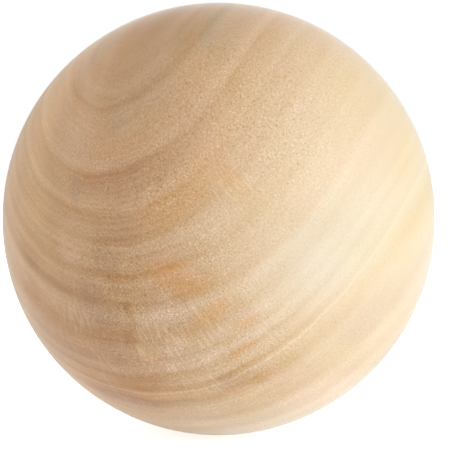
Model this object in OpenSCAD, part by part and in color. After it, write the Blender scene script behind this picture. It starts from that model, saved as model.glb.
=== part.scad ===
// Plain wooden ball, turned and sanded from one block of pale hardwood.
// It is one solid, round in every direction: it has no flat, bore or hole.
// The origin is at the centre of the ball, and +Z is up.

/* [Ball] */
// Diameter of the finished ball, in millimetres
ball_d = 50; // [20:0.5:100]

/* [Hidden] */
// Distance from the centre of the ball to its surface
ball_r = ball_d / 2;
// Number of facets round the ball where it is drawn as a mesh
round_facets = 120;

// The whole ball, as it leaves the lathe
module ball() {
    color("#E6C8A0")
        sphere(r = ball_r, $fn = round_facets);
}

ball();
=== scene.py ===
import bmesh
import bpy
import math
from mathutils import Matrix, Quaternion, Vector


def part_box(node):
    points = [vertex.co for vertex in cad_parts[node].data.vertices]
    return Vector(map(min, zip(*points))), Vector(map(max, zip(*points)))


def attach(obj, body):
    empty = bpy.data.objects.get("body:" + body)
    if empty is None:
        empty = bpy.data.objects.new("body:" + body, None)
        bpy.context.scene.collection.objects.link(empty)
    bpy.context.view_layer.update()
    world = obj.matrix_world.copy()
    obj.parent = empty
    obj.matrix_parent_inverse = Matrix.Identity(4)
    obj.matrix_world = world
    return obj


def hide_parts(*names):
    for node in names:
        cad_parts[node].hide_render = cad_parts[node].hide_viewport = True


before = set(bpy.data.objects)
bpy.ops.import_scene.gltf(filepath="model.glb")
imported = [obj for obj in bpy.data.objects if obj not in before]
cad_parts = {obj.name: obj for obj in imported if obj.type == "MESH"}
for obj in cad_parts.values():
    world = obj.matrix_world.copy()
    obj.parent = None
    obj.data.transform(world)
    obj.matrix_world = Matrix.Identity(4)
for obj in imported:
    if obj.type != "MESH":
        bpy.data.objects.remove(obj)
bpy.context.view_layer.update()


# ---------------------------------------------------------------- the ball
# One block of pale, close-grained hardwood, turned on a lathe and fine sanded, with no oil or varnish.
# It was cut from beside the pith of a small log, so its growth rings are wide arcs round a line that passes
# about 10 mm outside the ball, and the lower front of it is end grain.
MM = 0.001
low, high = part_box("ball")
centre = (low + high) / 2
radius = max(high - low) / 2

# A cube blown up to a sphere has even quads all over and no poles.
quads_per_side = 96
shell = bmesh.new()
bmesh.ops.create_cube(shell, size=2)
bmesh.ops.subdivide_edges(shell, edges=shell.edges[:], cuts=quads_per_side - 1, use_grid_fill=True)

# Each side of the cube is one patch of the flat map, three across and two up, with a gap round it.
flat_map = shell.loops.layers.uv.new("OFBake")
patch_gap = 0.01
patches = [(axis, side) for side in (-1, 1) for axis in range(3)]
for face in shell.faces:
    face.smooth = True
    axis = max(range(3), key=lambda k: abs(face.normal[k]))
    side = 1 if face.normal[axis] > 0 else -1
    row, column = divmod(patches.index((axis, side)), 3)
    for loop in face.loops:
        across, up = (loop.vert.co[k] for k in range(3) if k != axis)
        loop[flat_map].uv = (
            (column + 0.5) / 3 + (across * side / 2) * (1 / 3 - 2 * patch_gap),
            (row + 0.5) / 2 + (up / 2) * (1 / 2 - 2 * patch_gap),
        )

# Equal angles from the centre keep the quads alike before they are set at the ball's radius.
for vert in shell.verts:
    even = Vector([math.tan(c * math.pi / 4) for c in vert.co])
    vert.co = centre + even.normalized() * radius

ball_mesh = bpy.data.meshes.new("turned_ball")
shell.to_mesh(ball_mesh)
shell.free()
ball = bpy.data.objects.new("turned_ball", ball_mesh)
bpy.context.collection.objects.link(ball)


def linear(code):
    """A colour written as sRGB hex, as the linear red, green, blue and alpha that Blender works in."""
    shares = [int(code[k : k + 2], 16) / 255 for k in (1, 3, 5)]
    return [c / 12.92 if c <= 0.04045 else ((c + 0.055) / 1.055) ** 2.4 for c in shares] + [1.0]


def add(tree, kind, feeds=None, **settings):
    """Adds one node: settings are its own properties, feeds its sockets' values or what they link to."""
    made = tree.nodes.new("ShaderNode" + kind)
    for name, value in settings.items():
        setattr(made, name, value)
    for socket, value in (feeds or {}).items():
        if isinstance(value, bpy.types.Node):
            value = value.outputs[0]
        if isinstance(value, bpy.types.NodeSocket):
            tree.links.new(value, made.inputs[socket])
        else:
            made.inputs[socket].default_value = value
    return made


# Bare, fine-sanded hardwood: a matt skin with a little fuzz, pale cream sapwood that turns tan towards the
# pith, its cream partly painted light, soft rings, and on the end grain a fine speckle of pores and short
# pale dashes of ray.
wood = bpy.data.materials.new("fine_sanded_bare_hardwood")
wood.use_nodes = True
tree = wood.node_tree
tree.nodes.clear()
eased = {"interpolation_type": "SMOOTHSTEP"}

# The block's own axes, in millimetres: z runs up the grain and x along the long way of the oval rings. The
# rings are a fifth longer than they are wide.
grain = Vector((0.336, 0.837, 0.432)).normalized()
pith = Vector((-12.4, -10.6, 30.3))
long_way = Vector((0.81, -0.02, -0.59))
long_way = (long_way - grain * grain.dot(long_way)).normalized()
block_axes = Matrix((long_way, grain.cross(long_way), grain)).transposed()
length_by_width = 1.2
oval = math.sqrt(length_by_width)
block = add(
    tree,
    "Mapping",
    {
        "Vector": add(tree, "TexCoord").outputs["Object"],
        "Location": pith * MM,
        "Rotation": block_axes.to_euler(),
        "Scale": (MM * oval, MM / oval, MM),
    },
    vector_type="TEXTURE",
)

# The rings wander by up to half a millimetre, in waves 7 mm across and 30 mm along the grain. The noise
# runs from 0 to 1 and mostly keeps to its middle, so it is given a wider swing than that.
wave_across, wave_along = 7, 30
noise_middle = 0.5
swing_mm = 1.2
waves = (1 / wave_across, 1 / wave_across, 1 / wave_along)
coarse = add(tree, "VectorMath", {0: block, 1: waves}, operation="MULTIPLY")
wander = add(tree, "TexNoise", {"Vector": coarse, "Scale": 1.0, "Detail": 3.0}).outputs["Color"]
wander = add(tree, "VectorMath", {0: wander, 1: [noise_middle] * 3}, operation="SUBTRACT")
swing = (swing_mm, swing_mm, 0)
loose = add(tree, "VectorMath", {0: wander, 1: swing, 2: block}, operation="MULTIPLY_ADD")

# Every point's way round the pith in degrees, its distance from the pith, and its depth along the grain.
part = add(tree, "SeparateXYZ", {0: loose})
depth = part.outputs[2]
bearing = add(tree, "Math", {0: part.outputs[1], 1: part.outputs[0]}, operation="ARCTAN2")
bearing = add(tree, "Math", {0: bearing}, operation="DEGREES")
level_with = add(tree, "VectorMath", {0: loose, 1: (1, 1, 0)}, operation="MULTIPLY")
from_pith = add(tree, "VectorMath", {0: level_with}, operation="LENGTH").outputs["Value"]

# The outer rings grew thicker on one side, so a point's ring is not quite its distance from the pith.
outer = add(tree, "MapRange", {"Value": from_pith, "From Min": 30, "From Max": 38}, **eased)
thinner = {"Value": bearing, "From Min": -5, "From Max": 70, "To Min": 1.6, "To Max": -1.4}
thinner = add(tree, "MapRange", thinner, **eased)
ring = add(tree, "Math", {0: outer, 1: thinner, 2: from_pith}, operation="MULTIPLY_ADD")
on_rings = add(tree, "CombineXYZ", {0: bearing, 1: ring, 2: depth})

# The noises of the wood, each with the size of its marks: in mm across, across and along the grain where it
# is laid on the block, and in degrees, mm of ring and mm of depth where it is laid on the rings. Real pores
# are 0.05 mm across and real rays 0.1 mm, so those two are drawn two to four times coarser to show at all.
noise = {}
for name, laid_on, size, detail, lumpy in (
    ("clouds", loose, (4.0, 4.0, 9.0), 2.0, 0.6),
    ("hues", loose, (5.5, 5.5, 12.0), 2.0, 0.5),
    ("ragged", on_rings, (5.0, 1.6, 4.0), 3.0, 0.6),
    ("bands", on_rings, (16.0, 0.8, 9.0), 2.0, 0.6),
    ("lines", on_rings, (18.0, 0.24, 9.0), 1.0, 0.6),
    ("flecks", on_rings, (1.8, 0.32, 1.6), 1.0, 0.6),
    ("rays", on_rings, (0.42, 1.5, 1.8), 0.0, 0.5),
    ("pores", loose, (0.17, 0.17, 0.32), 1.0, 0.6),
    ("gusts", loose, (3.5, 3.5, 6.0), 2.0, 0.5),
):
    spread = add(tree, "VectorMath", {0: laid_on, 1: [1 / s for s in size]}, operation="MULTIPLY")
    cloud = add(tree, "TexNoise", {"Vector": spread, "Scale": 1.0, "Detail": detail, "Roughness": lumpy})
    noise[name] = add(tree, "Math", {0: cloud, 1: noise_middle}, operation="SUBTRACT")


def spot(laid_on, at, ring_mm, half_deg, half_mm, core):
    """A soft place round one bearing and ring: 0 past its half widths, and 1 within a share of them."""
    scaled = (1 / half_deg, 1 / half_mm, 0)
    to_middle = {0: laid_on, 1: scaled, 2: (-at / half_deg, -ring_mm / half_mm, 0)}
    to_middle = add(tree, "VectorMath", to_middle, operation="MULTIPLY_ADD")
    to_middle = add(tree, "VectorMath", {0: to_middle}, operation="LENGTH").outputs["Value"]
    return add(tree, "MapRange", {"Value": to_middle, "From Min": 1.0, "From Max": core}, **eased)


# Cream sapwood lies far from the pith and on one side of it, and the far side is a plain pale tan. That
# cream side is also where the main lamp shines, and part of its paleness is painted light.
far_out = add(tree, "MapRange", {"Value": ring, "From Min": -6, "From Max": 50}, **eased)
# Painted light: this side is made paler because the main lamp faces it, on top of its cream sapwood.
cream_and_lit_side = add(tree, "MapRange", {"Value": bearing, "From Min": 88, "From Max": -19}, **eased)
sapwood_and_painted_light = add(tree, "Math", {0: far_out, 1: cream_and_lit_side}, operation="MULTIPLY")
tan_side = add(tree, "MapRange", {"Value": bearing, "From Min": 35, "From Max": 52}, **eased)
body = {0: sapwood_and_painted_light, 6: linear("#D1965C"), 7: linear("#EFE2C3")}
body = add(tree, "Mix", body, data_type="RGBA").outputs[2]
body = add(tree, "Mix", {0: tan_side, 6: body, 7: linear("#DDB182")}, data_type="RGBA").outputs[2]

# A ring's thickness changes slowly round the tree, so each ring is followed along its own line.
drift = add(tree, "MapRange", {"Value": ring, "From Min": 24, "From Max": 30, "To Max": 0.02})
drift_back = add(tree, "MapRange", {"Value": ring, "From Min": 30, "From Max": 41, "To Max": -0.04})
drift = add(tree, "Math", {0: drift, 1: drift_back}, operation="ADD")
round_by = add(tree, "Math", {0: bearing, 1: 30.0}, operation="SUBTRACT")
line = add(tree, "Math", {0: round_by, 1: drift, 2: ring}, operation="MULTIPLY_ADD")

# The growth rings, from the pith out. A dark line is a season's dense late wood, and a pale one is the next
# spring's. Each has its distance from the pith and its half width in mm, and how much paler or darker it is
# in percent. It is made as a spot that runs all the way round, so its bearing doesn't matter.
across_rings = add(tree, "CombineXYZ", {1: line})
ring_tone = 0.0
for mm, half_mm, percent in (
    (10.3, 1.0, 4),
    (12.0, 0.7, 9),
    (13.3, 0.7, -14),
    (14.2, 0.7, 5),
    (17.5, 0.8, 11),
    (18.4, 0.5, -11),
    (19.3, 1.3, -6),
    (21.0, 0.7, 11),
    (21.7, 0.5, -7),
    (24.0, 0.7, -8),
    (25.0, 0.9, 10),
    (26.1, 0.6, 4),
    (27.3, 0.8, -10),
    (28.3, 0.6, 9),
    (30.5, 0.9, -11),
    (31.8, 0.9, 14),
    (33.9, 1.2, -8),
    (35.6, 0.8, 6),
    (36.6, 0.4, -3),
    (37.5, 0.8, 11),
    (38.5, 0.5, -10),
    (40.3, 0.7, -15),
    (40.9, 0.25, 16),
    (42.4, 1.2, -13),
    (43.8, 0.9, 6),
    (46.0, 0.8, -5),
    (47.5, 1.1, 9),
    (50.2, 1.3, 11),
    (53.5, 2.0, -6),
    (56.5, 1.0, 7),
    (58.0, 0.8, -6),
    (60.0, 1.2, 7),
    (62.0, 1.0, -6),
):
    ring_line = spot(across_rings, at=0, ring_mm=mm, half_deg=1, half_mm=half_mm, core=0)
    ring_tone = add(tree, "Math", {0: ring_line, 1: percent / 100, 2: ring_tone}, operation="MULTIPLY_ADD")

# The rings stand out where they were cut square and fade into the cream side, the outer ones most.
clear = {"Value": bearing, "From Min": 2, "From Max": 36, "To Min": 0.25, "To Max": 1.05}
clear = add(tree, "MapRange", clear, **eased)
out_there = add(tree, "MapRange", {"Value": ring, "From Min": 12, "From Max": 26}, **eased)
contrast = add(tree, "Mix", {0: out_there, 2: 1.0, 3: clear}, data_type="FLOAT")
tone = add(tree, "Math", {0: ring_tone, 1: contrast}, operation="MULTIPLY")

# How strongly the noises show: in full on end grain, hardly at all on the smooth cream side, and less next
# to the pith, round the far side and where the surface runs along the grain. They stand out most in three
# places.
smooth_from = {"Value": bearing, "From Min": 10, "From Max": 34, "To Max": 16}
smooth_from = add(tree, "MapRange", smooth_from, **eased)
past = add(tree, "Math", {0: ring, 1: smooth_from}, operation="SUBTRACT")
bold = {"Value": past, "From Min": 20, "From Max": 36, "To Min": 1, "To Max": 0}
bold = add(tree, "MapRange", bold, **eased)
least = {"Value": bearing, "From Min": 8, "From Max": 26, "To Min": 0.20, "To Max": 0.55}
least = add(tree, "MapRange", least)
bold = add(tree, "Mix", {0: bold, 2: least, 3: 1.0}, data_type="FLOAT")
for place, faded_at, full_at, faded in (
    (ring, 8, 16, 0.4),
    (bearing, 80, 45, 0.7),
    (depth, -1, -12, 0.55),
):
    fading = {"Value": place, "From Min": faded_at, "From Max": full_at, "To Min": faded, "To Max": 1.0}
    fading = add(tree, "MapRange", fading, **eased)
    bold = add(tree, "Math", {0: bold, 1: fading}, operation="MULTIPLY")
for at, ring_mm, half_deg, half_mm, more in (
    (42, 32, 17, 11, 0.75),
    (26, 39.5, 9, 4.5, 0.3),
    (21, 21, 12, 4, 0.3),
):
    bolder = spot(on_rings, at, ring_mm, half_deg, half_mm, core=0.3)
    bold = add(tree, "Math", {0: bolder, 1: more, 2: bold}, operation="MULTIPLY_ADD")

# Streaks and cloudiness, then the tint of the wood. A mark shows least in red and most in blue, so what is
# darker is also redder, and the hue drifts.
lined = {"Value": bearing, "From Min": 16, "From Max": 36, "To Min": 0.12, "To Max": 0.50}
lined = add(tree, "MapRange", lined, **eased)
lined_in = {"Value": ring, "From Min": 24, "From Max": 31, "To Min": 1.0, "To Max": 0.65}
lined_in = add(tree, "MapRange", lined_in, **eased)
lined = add(tree, "Math", {0: lined, 1: lined_in}, operation="MULTIPLY")
streaks = 0.0
for name, amount in (("clouds", 0.20), ("bands", 0.14), ("flecks", 0.10), ("lines", lined)):
    streaks = add(tree, "Math", {0: noise[name], 1: amount, 2: streaks}, operation="MULTIPLY_ADD")
in_full = add(tree, "Math", {0: bold, 1: 1.0}, operation="MINIMUM")
tone = add(tree, "Math", {0: streaks, 1: in_full, 2: tone}, operation="MULTIPLY_ADD")
mark_colour = (0.55, 1.0, 1.7)
hue_drift = (0.02, -0.06, 0.12)
tint = add(tree, "VectorMath", {0: tone, 1: mark_colour, 2: (1, 1, 1)}, operation="MULTIPLY_ADD")
tint = add(tree, "VectorMath", {0: noise["hues"], 1: hue_drift, 2: tint}, operation="MULTIPLY_ADD")

# The figure: soft, ragged places where the wood is tinged, some of them painted light: the silvery ones
# are partly painted sheen, the creamy ones at the lower edge painted reflection, and the golden one at the
# right edge painted shade. Each tinge is a change of red, green and blue in percent, and each place has the
# bearing and ring of its middle, its half width in degrees and in mm, and its strength. Their edges are
# broken up by a few degrees and by a millimetre or less. They are strongest at this end of the log and fade
# towards the other.
tinges = {
    "pale": (10, 11, 10),
    "silvery_fleck_and_sheen": (7, 10, 20),
    "golden_and_rim_shade": (-2, -1, -6),
    "creamy_painted_glare": (0, 17, 36),
    "cool": (-10, -4, 2),
    "pinkish": (-10, -12, -8),
    "orange": (0, -10, -23),
    "brown": (-10, -16, -24),
}
figure = (0, 0, 0)
ragged_by = (6.0, 1.8, 0.0)
broken = add(tree, "CombineXYZ", {0: noise["ragged"], 1: noise["clouds"], 2: 0.0})
broken = add(tree, "VectorMath", {0: broken, 1: ragged_by, 2: on_rings}, operation="MULTIPLY_ADD")
for tinge, at, ring_mm, half_deg, half_mm, strength in (
    ("pale", 74, 15, 16, 9, 2.25),
    ("pale", 66, 23, 9, 6, 0.75),
    ("pale", 78, 25, 7, 6, 0.75),
    ("pale", -12, 27, 6, 8, 0.5),
    ("pale", 53, 34.5, 4, 2, 0.75),
    ("pale", 41, 36, 3, 1, 1.0),
    # The silvery places are partly paler ray fleck and partly painted sheen.
    ("silvery_fleck_and_sheen", 13, 34, 10, 7, 1.0),
    ("silvery_fleck_and_sheen", 28, 49, 7, 4, 1.25),
    ("silvery_fleck_and_sheen", 12, 39.5, 9, 1.5, 0.5),
    ("silvery_fleck_and_sheen", 15, 26, 6, 2.5, 0.75),
    ("silvery_fleck_and_sheen", 20, 35.5, 3, 1.5, 1.0),
    ("silvery_fleck_and_sheen", 27, 15.5, 8, 1.5, 0.5),
    ("silvery_fleck_and_sheen", 40, 18.5, 5, 5, 0.5),
    ("silvery_fleck_and_sheen", 52, 25.5, 5, 3, 1.25),
    ("silvery_fleck_and_sheen", 35, 31.5, 4.5, 2, 1.5),
    ("silvery_fleck_and_sheen", 35, 35, 4, 1.5, 1.0),
    ("silvery_fleck_and_sheen", 39, 32.5, 3.5, 3, 0.75),
    ("silvery_fleck_and_sheen", 38, 36.5, 5, 2, 1.0),
    ("silvery_fleck_and_sheen", 9, 37, 6, 4, 0.25),
    ("silvery_fleck_and_sheen", 32, 37.5, 4.5, 2, 1.0),
    # The golden place at the right edge is painted shade that tones down the sheen there.
    ("golden_and_rim_shade", -14, 34, 16, 14, 1.0),
    ("golden_and_rim_shade", 3, 42, 9, 4, 1.0),
    # The creamy places at the lower edge are painted reflection of the white surroundings.
    ("creamy_painted_glare", 44, 48, 18, 6, 1.0),
    ("creamy_painted_glare", 40, 53, 24, 4, 1.0),
    ("cool", 6, 36, 15, 8, 0.75),
    ("cool", 20, 12.5, 34, 4.5, 1.25),
    ("cool", 10, 17, 16, 2.5, 0.25),
    ("cool", 42, 43, 8, 1.5, 0.75),
    ("cool", -4, 13.5, 5, 1.5, 1.0),
    ("cool", -7, 15, 7, 3, 0.75),
    ("cool", 31, 15, 6, 1.5, 0.75),
    ("pinkish", 50, 35, 11, 9, 1.0),
    ("pinkish", 30, 19, 27, 2.5, 1.0),
    ("pinkish", 38, 23, 9, 2.5, 0.75),
    ("pinkish", 50, 20, 4.5, 2, 1.25),
    ("pinkish", 51, 43, 9, 3, 1.75),
    ("pinkish", 60, 37, 8, 5, 1.0),
    ("pinkish", 43, 25.5, 4.5, 2.5, 1.0),
    ("pinkish", 48, 29.5, 5.5, 4, 0.75),
    ("pinkish", 60, 30, 13, 1, 1.0),
    ("pinkish", 13, 44.5, 9, 3, 0.75),
    ("pinkish", 33, 41, 4, 1.5, 0.75),
    ("orange", 32, 27.5, 9.5, 2.5, 0.75),
    ("orange", 29, 28.5, 6, 2, 1.25),
    ("orange", 50, 11.5, 6, 1.5, 1.0),
    ("orange", 55, 14, 6, 1.5, 0.5),
    ("orange", 36, 46.5, 6, 1.5, 0.75),
    ("orange", 26, 30, 7.5, 1.5, 1.0),
    ("orange", 26, 33, 6.5, 1.5, 1.25),
    ("orange", 31, 34.5, 6, 1.5, 0.5),
    ("orange", 24, 36, 3, 1.0, 1.0),
    ("orange", 26, 38.5, 3.5, 1.0, 1.0),
    ("orange", 8, 21, 14, 1.0, 0.75),
    ("orange", 8, 24.5, 2, 3, 1.0),
    ("orange", 62, 15, 12, 5, 0.25),
    ("orange", -4, 38, 6, 5, 0.5),
    ("orange", 20, 22.5, 18, 2, 0.75),
    ("brown", 2, 12, 9, 1.5, 1.0),
    ("brown", 41, 28, 4.5, 1.5, 0.75),
    ("brown", 29, 40.5, 6, 1.0, 0.75),
    ("brown", 30, 42, 4, 1.5, 1.25),
    ("brown", 45, 39.5, 7, 2, 1.0),
    ("brown", 65, 29, 6, 1.5, 0.75),
    ("brown", 64, 32.5, 4, 2, 1.0),
    ("brown", 41.5, 31, 1.5, 2, 1.5),
    ("brown", 43, 34, 2, 2.5, 1.25),
    ("brown", 14, 9.5, 18, 1.5, 1.0),
    ("brown", 3, 43, 6, 3, 0.5),
    ("brown", 29, 19, 4, 1, 0.75),
    ("brown", 24, 42, 5, 2, 0.5),
):
    stained = spot(broken, at, ring_mm, half_deg, half_mm, core=0.25)
    change = [strength * percent / 100 for percent in tinges[tinge]]
    figure = add(tree, "VectorMath", {0: stained, 1: change, 2: figure}, operation="MULTIPLY_ADD")
near_end = {"Value": depth, "From Min": 16, "From Max": 5, "To Min": 0.2, "To Max": 1.0}
near_end = add(tree, "MapRange", near_end, **eased)
tint = add(tree, "VectorMath", {0: figure, 1: near_end, 2: tint}, operation="MULTIPLY_ADD")
coloured = add(tree, "VectorMath", {0: body, 1: tint}, operation="MULTIPLY")

# Pores pit the end grain all over, with paler fibre between them. Few are deep and most hardly show, so
# each counts by its own depth and a little more.
least_weight = 0.1
pore_weight = add(tree, "Math", {0: noise["pores"]}, operation="ABSOLUTE")
pore_weight = add(tree, "Math", {0: pore_weight, 1: least_weight}, operation="ADD")
pores = add(tree, "Math", {0: pore_weight, 1: noise["pores"]}, operation="MULTIPLY")

# Rays show as short pale dashes across the rings: in gusts where the end grain is cut squarest, and
# gathered in two places.
rayed = add(tree, "MapRange", {"Value": noise["gusts"], "From Min": -0.05, "From Max": 0.15}, **eased)
for place, none_at, full_at in ((depth, -16, -24), (ring, 26, 31)):
    cut_square = add(tree, "MapRange", {"Value": place, "From Min": none_at, "From Max": full_at}, **eased)
    rayed = add(tree, "Math", {0: rayed, 1: cut_square}, operation="MULTIPLY")
for at, ring_mm, half_deg, half_mm, more in ((36, 34, 6, 3.5, 0.6), (9, 25, 7, 4.5, 0.8)):
    gathered = spot(on_rings, at, ring_mm, half_deg, half_mm, core=0.3)
    rayed = add(tree, "Math", {0: gathered, 1: more, 2: rayed}, operation="MULTIPLY_ADD")
rayed = add(tree, "Math", {0: rayed, 1: 1.0}, operation="MINIMUM")
dashes = add(tree, "MapRange", {"Value": noise["rays"], "From Min": -0.02, "From Max": 0.16}, **eased)
rays = add(tree, "Math", {0: dashes, 1: rayed}, operation="MULTIPLY")

# Pores are dark and a little red, and they show less between the rays.
pore_strength = add(tree, "MapRange", {"Value": rayed, "To Min": 4.1, "To Max": 2.5})
far_pores = {"Value": bearing, "From Min": 40, "From Max": 56, "To Min": 1.0, "To Max": 0.75}
far_pores = add(tree, "MapRange", far_pores)
pore_strength = add(tree, "Math", {0: pore_strength, 1: far_pores}, operation="MULTIPLY")
ray_strength = 0.15
speckle_colour = (0.65, 1.0, 1.5)
speckle = add(tree, "Math", {0: pores, 1: pore_strength}, operation="MULTIPLY")
speckle = add(tree, "Math", {0: rays, 1: ray_strength, 2: speckle}, operation="MULTIPLY_ADD")
speckle = add(tree, "Math", {0: speckle, 1: bold}, operation="MULTIPLY")
speckle = add(tree, "VectorMath", {0: speckle, 1: speckle_colour, 2: (1, 1, 1)}, operation="MULTIPLY_ADD")
bare_wood = add(tree, "VectorMath", {0: coloured, 1: speckle}, operation="MULTIPLY")

# The sanded surface in relief, in mm: a deep pore is a few hundredths, a ray a hundredth proud.
pore_mm, ray_mm = 0.16, 0.01
relief = add(tree, "Math", {0: pores, 1: pore_mm}, operation="MULTIPLY")
relief = add(tree, "Math", {0: rays, 1: ray_mm, 2: relief}, operation="MULTIPLY_ADD")
relief = add(tree, "Math", {0: relief, 1: bold}, operation="MULTIPLY")
bump = add(tree, "Bump", {"Height": relief, "Distance": MM, "Strength": 1.0})

# Seen nearly edge on, the sanded fibres lie flat and shine a little more, and the rays are the smoothest.
edge_on = add(tree, "LayerWeight", {"Blend": 0.5}).outputs["Facing"]
rough = {"Value": edge_on, "From Min": 0.55, "From Max": 0.9, "To Min": 0.55, "To Max": 0.42}
rough = add(tree, "MapRange", rough)
ray_roughness = -0.1
rough = add(tree, "Math", {0: rays, 1: ray_roughness, 2: rough}, operation="MULTIPLY_ADD")
skin = {"Base Color": bare_wood, "Roughness": rough, "IOR": 1.5, "Normal": bump}
skin = add(tree, "BsdfPrincipled", {**skin, "Sheen Weight": 0.5, "Sheen Roughness": 0.3})
add(tree, "OutputMaterial", {"Surface": skin})
ball_mesh.materials.append(wood)
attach(ball, "root")
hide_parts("ball")


# ---------------------------------------------------------------- the floor
# A round of plain white paper that the ball rests on. It keeps the ball's own soft shadow. It glows too:
# what the camera and reflections see of it is white further out and a little greyer under the ball, which
# is painted shade, and the ball is lit by that glow only faintly.
floor_radius = 3.0
floor_shape = bmesh.new()
bmesh.ops.create_circle(floor_shape, cap_ends=True, radius=floor_radius, segments=96)
bmesh.ops.translate(floor_shape, verts=floor_shape.verts, vec=(0, 0, low.z))
floor_mesh = bpy.data.meshes.new("studio_floor")
floor_shape.to_mesh(floor_mesh)
floor_shape.free()
floor = bpy.data.objects.new("studio_floor", floor_mesh)
bpy.context.collection.objects.link(floor)

paper = bpy.data.materials.new("white_paper_floor")
paper.use_nodes = True
tree = paper.node_tree
tree.nodes.clear()
kind_of_ray = add(tree, "LightPath").outputs
seen = {0: kind_of_ray["Is Camera Ray"], 1: kind_of_ray["Is Glossy Ray"]}
seen = add(tree, "Math", seen, operation="MAXIMUM")
on_floor = add(tree, "TexCoord").outputs["Object"]
from_ball = add(tree, "VectorMath", {0: on_floor}, operation="LENGTH").outputs["Value"]
# Painted shade: the glow seen by the camera and reflections is weaker near the ball, so the floor is greyer
# there.
seen_glow = {"Value": from_ball, "From Min": 0.03, "From Max": 0.20, "To Min": 0.76, "To Max": 1.0}
seen_glow = add(tree, "MapRange", seen_glow)
floor_fill = 0.13
glow_level = add(tree, "Mix", {"Factor": seen, 2: floor_fill, 3: seen_glow}, data_type="FLOAT")
matt = add(tree, "BsdfDiffuse", {"Color": linear("#F2F2F2")})
glow = add(tree, "Emission", {"Color": (1, 1, 1, 1), "Strength": glow_level})
both = add(tree, "AddShader", {0: matt, 1: glow})
add(tree, "OutputMaterial", {"Surface": both})
floor_mesh.materials.append(paper)


# ---------------------------------------------------------------- the backdrop
# White all round, as the camera, reflections and clear things see it, and a faint fill light on the ball.
backdrop = bpy.data.worlds.new("white_studio")
bpy.context.scene.world = backdrop
backdrop.use_nodes = True
tree = backdrop.node_tree
tree.nodes.clear()
kind_of_ray = add(tree, "LightPath").outputs
seen = {0: kind_of_ray["Is Camera Ray"], 1: kind_of_ray["Is Glossy Ray"]}
seen = add(tree, "Math", seen, operation="MAXIMUM")
seen = add(tree, "Math", {0: seen, 1: kind_of_ray["Is Transmission Ray"]}, operation="MAXIMUM")
backdrop_fill = 0.07
white_level = add(tree, "MapRange", {"Value": seen, "To Min": backdrop_fill, "To Max": 1.0})
sky = add(tree, "Background", {"Color": (1, 1, 1, 1), "Strength": white_level})
add(tree, "OutputWorld", {"Surface": sky})


# ---------------------------------------------------------------- the lamps
# Three square softboxes aimed at the ball: a main one front right, a weaker one high on the left, and one
# behind, a little to the right, that lifts the ball's upper edge and isn't reflected. Each has its way
# round in degrees, from the right by way of the front, then its height in degrees and its watts.
lamp_gap = 0.7
lamp_side = 0.5
for name, round_deg, up_deg, watts, reflected in (
    ("key_softbox", 35, 18, 4.7, True),
    ("left_softbox", 180, 36, 2.05, True),
    ("back_softbox", 286, 20, 1.8, False),
):
    turned, raised = math.radians(round_deg), math.radians(up_deg)
    level = math.cos(raised)
    toward = Vector((math.cos(turned) * level, -math.sin(turned) * level, math.sin(raised)))
    lamp = bpy.data.lights.new(name, "AREA")
    lamp.size = lamp_side
    lamp.energy = watts
    softbox = bpy.data.objects.new(name, lamp)
    softbox.location = centre + toward * lamp_gap
    softbox.rotation_euler = (-toward).to_track_quat("-Z", "Y").to_euler()
    softbox.visible_camera = False
    softbox.visible_glossy = reflected
    bpy.context.collection.objects.link(softbox)


# ---------------------------------------------------------------- the camera
# A long lens, a touch above the ball's middle, with the ball nearly filling the picture. It points a hair
# to the right of the ball's centre and below it, so that the ball sits a little high and to the left.
lens_mm, sensor_mm = 100, 36
ball_share_of_frame = 0.9609
right_deg, down_deg = 0.261, 0.270
above_deg = 3
raised = math.radians(above_deg)
camera_data = bpy.data.cameras.new("camera")
camera_data.lens = lens_mm
camera_data.sensor_width = sensor_mm
camera = bpy.data.objects.new("camera", camera_data)
half_angle = math.atan(ball_share_of_frame / 2 * sensor_mm / lens_mm)
outward = Vector((0, -math.cos(raised), math.sin(raised)))
camera.location = centre + outward * radius / math.sin(half_angle)
nudge = Quaternion((0, 1, 0), -math.radians(right_deg)) @ Quaternion((1, 0, 0), -math.radians(down_deg))
camera.rotation_mode = "QUATERNION"
camera.rotation_quaternion = (-outward).to_track_quat("-Z", "Y") @ nudge
bpy.context.collection.objects.link(camera)
bpy.context.scene.camera = camera
bpy.context.scene.view_settings.view_transform = "Standard"
